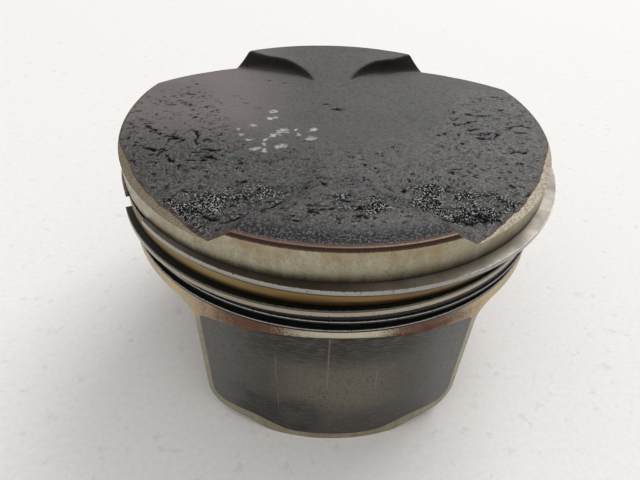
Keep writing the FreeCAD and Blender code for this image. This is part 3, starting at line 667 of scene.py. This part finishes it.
def crust_material():
    """Dry carbon: charcoal, sparkling where it crumbles, brown where it thins out at the rim. Painted shade
    lies in its cracks, on the rear pockets' walls and towards the front left, with a painted sheen at the
    back left and a painted highlight along the front segment's edge.
    """
    g = Graph("carbon_deposit")
    rough, crumb, crack = g.stored("rough"), g.stored("crumb"), g.stored("crack")
    scratch, wall = g.stored("scratch"), g.stored("wall")
    inward, high_rim = g.stored("inward"), g.stored("high_rim")
    tints = g.noise(8.0, 5.0, 0.6)
    flat_specks = g.noise(0.55, 5.0, 0.75)
    grains = g.noise(0.27, 2.0, 0.85)
    coarse_grains = g.noise(0.30, 3.0, 0.8)
    soot = g.noise(2.4, 5.0, 0.7)
    hills = g.noise(2.6, 5.0, 0.7, g.stretched((0.75, 1.25, 1.0)))
    contour = g.math("ABSOLUTE", g.math("SUBTRACT", hills, 0.5))
    veins = g.both(g.below(contour, 0.012, 0.008), g.ramp(g.noise(1.3, 3.0, 0.6), 0.50, 0.58),
                   g.ramp(rough, 0.1, 0.6))

    colour = g.mix(g.ramp(tints, 0.36, 0.62), (0.052, 0.052, 0.047), (0.066, 0.056, 0.055))
    colour = g.mix(g.both(g.ramp(soot, 0.42, 0.66), g.blend(rough, 0.3, 0.8)), colour, (0.030, 0.026, 0.026))
    colour = g.mix(g.both(g.ramp(flat_specks, 0.50, 0.58), g.blend(rough, 0.55, 0.75)), colour,
                   (0.011, 0.010, 0.010))
    colour = g.mix(g.both(g.ramp(coarse_grains, 0.54, 0.60), g.blend(rough, 0.12, 0.85)), colour,
                   (0.007, 0.007, 0.007))
    colour = g.mix(g.both(g.ramp(coarse_grains, 0.44, 0.38), g.blend(rough, 0.10, 0.55)), colour,
                   (0.135, 0.132, 0.128))
    sparkle = g.mix(g.ramp(grains, 0.54, 0.60), (0.002, 0.002, 0.002), (0.33, 0.33, 0.325))
    colour = g.mix(g.math("MAXIMUM", crumb, g.both(rough, 0.24)), colour, sparkle)
    # painted sheen: the crust lighter towards the back left
    back_left_sheen = g.both(g.below(g.x, -11.0, 8.0), g.above(g.y, -5.0, 7.0), 0.7)
    colour = g.mix(back_left_sheen, colour, (0.150, 0.130, 0.125))
    # painted shade: the cracks and veins coloured nearly black, for the shade inside them
    crack_shade = g.math("MAXIMUM", crack, veins)
    colour = g.mix(crack_shade, colour, (0.001, 0.001, 0.001))
    # painted shade on the rear pockets' walls
    colour = g.mix(g.both(wall, 0.9), colour, (0.004, 0.003, 0.003))
    thin = g.both(g.below(g.math("ADD", inward, g.math("MULTIPLY", flat_specks, 0.7)), 0.6, 0.25), 0.8)
    colour = g.mix(thin, colour, (0.075, 0.040, 0.025))
    uneven_inward = g.math("ADD", inward, g.math("MULTIPLY", tints, 3.0))
    smooth_top = g.both(high_rim, g.below(uneven_inward, 4.4, 1.4), 0.85)
    bluish = g.mix(g.ramp(coarse_grains, 0.42, 0.48), (0.105, 0.112, 0.120), (0.001, 0.001, 0.001))
    colour = g.mix(smooth_top, colour, bluish)
    # a thin pale orange line where the crust meets the front segment's bevel: painted highlight
    colour = g.mix(g.both(high_rim, g.below(inward, 0.30, 0.30), 0.7), colour, (0.15, 0.095, 0.075))
    colour = g.mix(scratch, colour, (0.38, 0.385, 0.35))
    colour = g.mix(g.below(g.from_point(*GREEN_FLECK), 0.35, 0.2), colour, (0.02, 0.13, 0.075))

    pits = g.both(crumb, g.ramp(grains, 0.58, 0.52))
    dull = g.most(crack_shade, pits, g.both(smooth_top, 0.75), g.both(wall, 0.75))
    fine = g.bump(grains, 0.05, g.blend(crumb, g.blend(rough, 0.1, 0.5), 1.0))
    g.surface(
        base_color=colour,
        metallic=0.0,
        roughness=g.blend(crumb, g.ramp(flat_specks, 0.3, 0.7, 0.54, 0.66), 0.62),
        specular=g.blend(dull, 0.42, 0.02),
        normal=g.bump(g.noise(1.2, 5.0, 0.7), 0.07, g.blend(rough, 0.3, 0.9), fine),
    )
    return g.material


crust()


# ---------------------------------------------------------------- graphite coat on the skirts

COAT_THICKNESS = 0.022
COAT_CELLS = (150, 96)
# the coat's outline, in millimetres and degrees round from its middle
COAT_HALF_AZIMUTH = 34.6
COAT_TOP = 11.15
COAT_TOP_FALL = 1.9                     # how much lower the top is at the sides
COAT_FOOT = -12.15
COAT_FOOT_RISE = 2.0                    # from the middle of the foot to its raised sides
COAT_FOOT_RISE_AZIMUTHS = (10.0, 23.0)
COAT_TOP_CORNER = 0.5
COAT_TOP_CORNER_AZIMUTH = 33.4
COAT_FOOT_CORNER = 2.6
COAT_FOOT_CORNER_AZIMUTH = 31.0
COAT_FOOT_CORNER_SPREAD = 3.6


def coat(name, middle):
    """One printed patch: a sheet that follows the skirt round from the azimuth in its middle."""
    faces = body_faces()
    # the columns lie closer together at the ends
    degrees = COAT_HALF_AZIMUTH * np.sin(np.linspace(-math.pi / 2, math.pi / 2, COAT_CELLS[0] + 1))
    away = np.abs(degrees)
    top = COAT_TOP - COAT_TOP_FALL * (away / COAT_HALF_AZIMUTH) ** 2
    top -= COAT_TOP_CORNER * step(away, COAT_TOP_CORNER_AZIMUTH, COAT_HALF_AZIMUTH)
    foot = COAT_FOOT + COAT_FOOT_RISE * step(away, *COAT_FOOT_RISE_AZIMUTHS)
    into_corner = (away - COAT_FOOT_CORNER_AZIMUTH) / COAT_FOOT_CORNER_SPREAD
    foot += COAT_FOOT_CORNER * (1 - np.sqrt(1 - np.clip(into_corner, 0, 1) ** 2))
    share = np.linspace(0, 1, COAT_CELLS[1] + 1)
    height = foot[:, None] + (top - foot)[:, None] * share[None, :]
    angle = np.radians(degrees + middle)[:, None] * np.ones_like(height)
    border = np.minimum(np.minimum(share, 1 - share)[None, :] * (top - foot)[:, None],
                        ((COAT_HALF_AZIMUTH - away) * math.pi / 180 * SKIRT_RADIUS)[:, None])
    lift = COAT_THICKNESS * step(border, -0.02, 0.12) - 0.004
    reach = np.empty(height.shape)
    for i, j in np.ndindex(height.shape):
        turn = angle[i, j]
        inward = Vector((-math.sin(turn), math.cos(turn), 0.0))
        start = Vector((0, 0, height[i, j] * MM)) - inward * (SKIRT_RADIUS + 5) * MM
        reach[i, j] = -(faces.ray_cast(start, inward)[0] / MM).dot(inward)
    # where the skirt steps out, the coat follows the step's outer side
    padded = np.pad(reach, ((0, 0), (1, 1)), mode="edge")
    reach = np.maximum(reach, np.maximum(padded[:, :-2], padded[:, 2:])) + lift
    piece = sheet(name, reach * np.sin(angle), -reach * np.cos(angle), height, coat_material(name, middle))
    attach(piece, "piston")
    return piece


# upright scratches through each coat, laid by a seeded draw
SCRATCH_COUNT = 4
SCRATCH_SEED = 5


def coat_material(name, middle):
    """Graphite printed on a turned skirt: fine lines, a polished middle, darker oil marks low down."""
    g = Graph(name + "_graphite")
    round_to = g.azimuth if middle == 0 else g.math("SUBTRACT", g.math(
        "MODULO", g.math("ADD", g.azimuth, 360.0), 360.0), middle)
    turned = g.stretched((0.10, 0.10, 1.0))
    lines = g.noise(0.16, 3.0, 0.65, turned)
    clouds = g.noise(8.0, 3.0, 0.5)
    specks = g.noise(0.35, 3.0, 0.7)

    colour = g.mix(g.ramp(clouds, 0.35, 0.65), (0.052, 0.044, 0.035), (0.066, 0.060, 0.052))
    polished = g.both(g.between(round_to, -12.0, 12.0, 9.0), g.between(g.z, -5.5, 5.0, 3.5))
    colour = g.mix(g.both(polished, 0.9), colour, (0.145, 0.128, 0.088))
    sides = g.above(g.math("ABSOLUTE", round_to), 24.0, 9.0)
    colour = g.mix(g.both(sides, 0.7), colour, (0.130, 0.134, 0.132))
    marks = g.both(g.between(round_to, -27.0, -4.0, 5.0), g.below(g.z, -3.5, 2.5), g.ramp(clouds, 0.3, 0.5))
    colour = g.mix(marks, colour, (0.008, 0.006, 0.004))
    under_belt = g.both(g.above(g.z, 6.5, 2.5), g.below(g.math("ABSOLUTE", round_to), 20.0, 7.0), 0.85)
    colour = g.mix(under_belt, colour, (0.012, 0.009, 0.006))
    low = g.both(g.between(round_to, 4.0, 26.0, 5.0), g.below(g.z, -6.0, 2.5))
    colour = g.mix(g.both(low, 0.6), colour, (0.035, 0.032, 0.032))
    colour = g.mix(g.ramp(specks, 0.53, 0.64, 0.0, 0.75), colour, (0.015, 0.013, 0.011))
    colour = g.mix(g.ramp(lines, 0.48, 0.66, 0.0, 0.6), colour, (0.135, 0.126, 0.104))
    random = np.random.default_rng(SCRATCH_SEED + round(middle))
    for _ in range(SCRATCH_COUNT):
        azimuth, foot = random.uniform(-16.0, 16.0), random.uniform(-10.0, 1.0)
        half_width, top = random.uniform(0.10, 0.18), foot + random.uniform(3.0, 12.0)
        line = g.both(g.between(round_to, azimuth - half_width, azimuth + half_width, half_width * 0.8),
                      g.between(g.z, foot, top, 1.0), g.ramp(lines, 0.25, 0.6, 0.1, 0.55))
        colour = g.mix(line, colour, (0.24, 0.21, 0.16))
    g.surface(
        base_color=colour,
        metallic=0.35,
        roughness=g.ramp(lines, 0.3, 0.7, 0.36, 0.5),
        normal=g.bump(lines, 0.012, 0.8),
    )
    return g.material


coat("skirt_coat_front", 0.0)
coat("skirt_coat_rear", 180.0)


# ---------------------------------------------------------------- studio

FLOOR_HALF = 2.0              # metres
ROOM_LIGHT = (0.28, 0.96)     # at the horizon, overhead
KEY_PLACE = (1.61, 2.34, 2.86)
KEY_SIDE = 2.6
KEY_POWER = 99.0


def floor():
    """A pale speckled sheet under the skirt."""
    mesh = bpy.data.meshes.new("floor")
    half = FLOOR_HALF
    corners = [(-half, -half, 0), (half, -half, 0), (half, half, 0), (-half, half, 0)]
    mesh.from_pydata(corners, [], [(0, 1, 2, 3)])
    plane = bpy.data.objects.new("floor", mesh)
    plane.location.z = FOOT_Z * MM
    bpy.context.collection.objects.link(plane)
    g = Graph("pale_sheet")
    specks = g.noise(0.9, 4.0, 0.7)
    colour = g.mix(g.ramp(specks, 0.35, 0.65), (0.76, 0.745, 0.735), (0.80, 0.79, 0.78))
    colour = g.mix(g.ramp(g.noise(2.6, 3.0, 0.6), 0.60, 0.70, 0.0, 0.45), colour, (0.60, 0.59, 0.58))
    g.surface(base_color=colour, roughness=0.85, specular=0.15, normal=g.bump(specks, 0.05, 0.5))
    mesh.materials.append(g.material)


def area_light(name, place, side, power):
    """A square soft box at place, in metres, facing the ring belt."""
    light = bpy.data.lights.new(name, "AREA")
    light.size = side
    light.energy = power
    lamp = bpy.data.objects.new(name, light)
    lamp.location = place
    aim = Vector((0, 0, 12 * MM)) - Vector(place)
    lamp.rotation_euler = aim.to_track_quat("-Z", "Y").to_euler()
    bpy.context.collection.objects.link(lamp)


def studio():
    floor()
    world = bpy.data.worlds.new("pale_room")
    world.use_nodes = True
    nodes, links = world.node_tree.nodes, world.node_tree.links
    # the room is dimmer near the horizon than overhead
    direction = nodes.new("ShaderNodeTexCoord")
    parts = nodes.new("ShaderNodeSeparateXYZ")
    rise = nodes.new("ShaderNodeMapRange")
    rise.interpolation_type = "SMOOTHSTEP"
    for socket, value in zip(list(rise.inputs)[1:5], (0.0, 0.9, *ROOM_LIGHT)):
        socket.default_value = value
    links.new(direction.outputs["Generated"], parts.inputs[0])
    links.new(parts.outputs["Z"], rise.inputs[0])
    links.new(rise.outputs[0], nodes["Background"].inputs["Strength"])
    nodes["Background"].inputs["Color"].default_value = (1.0, 0.99, 0.975, 1.0)
    bpy.context.scene.world = world
    area_light("key", KEY_PLACE, KEY_SIDE, KEY_POWER)
    bpy.context.scene.view_settings.view_transform = "Standard"


# place and lens in millimetres, angles in degrees until they are turned to radians
CAMERA_PLACE = Vector((-4.20, -72.13, 59.81))
CAMERA_HEADING, CAMERA_DIP, CAMERA_ROLL = (math.radians(a) for a in (1.95, 39.784, 1.899))
CAMERA_LENS = 27.09


def camera():
    """The camera at the photograph's angle: heading from +Y towards +X, dip below the horizon, roll."""
    data = bpy.data.cameras.new("camera")
    data.lens = CAMERA_LENS
    data.clip_start = 0.005
    level = math.cos(CAMERA_DIP)
    across, along_y = math.sin(CAMERA_HEADING) * level, math.cos(CAMERA_HEADING) * level
    ahead = Vector((across, along_y, -math.sin(CAMERA_DIP)))
    right = Vector((math.cos(CAMERA_HEADING), -math.sin(CAMERA_HEADING), 0.0))
    up = right.cross(ahead)
    rolled_right = math.cos(CAMERA_ROLL) * right + math.sin(CAMERA_ROLL) * up
    rolled_up = math.cos(CAMERA_ROLL) * up - math.sin(CAMERA_ROLL) * right
    turn = Matrix((rolled_right, rolled_up, -ahead)).transposed()
    shot = bpy.data.objects.new("camera", data)
    shot.matrix_world = Matrix.Translation(CAMERA_PLACE * MM) @ turn.to_4x4()
    bpy.context.collection.objects.link(shot)
    bpy.context.scene.camera = shot


studio()
camera()
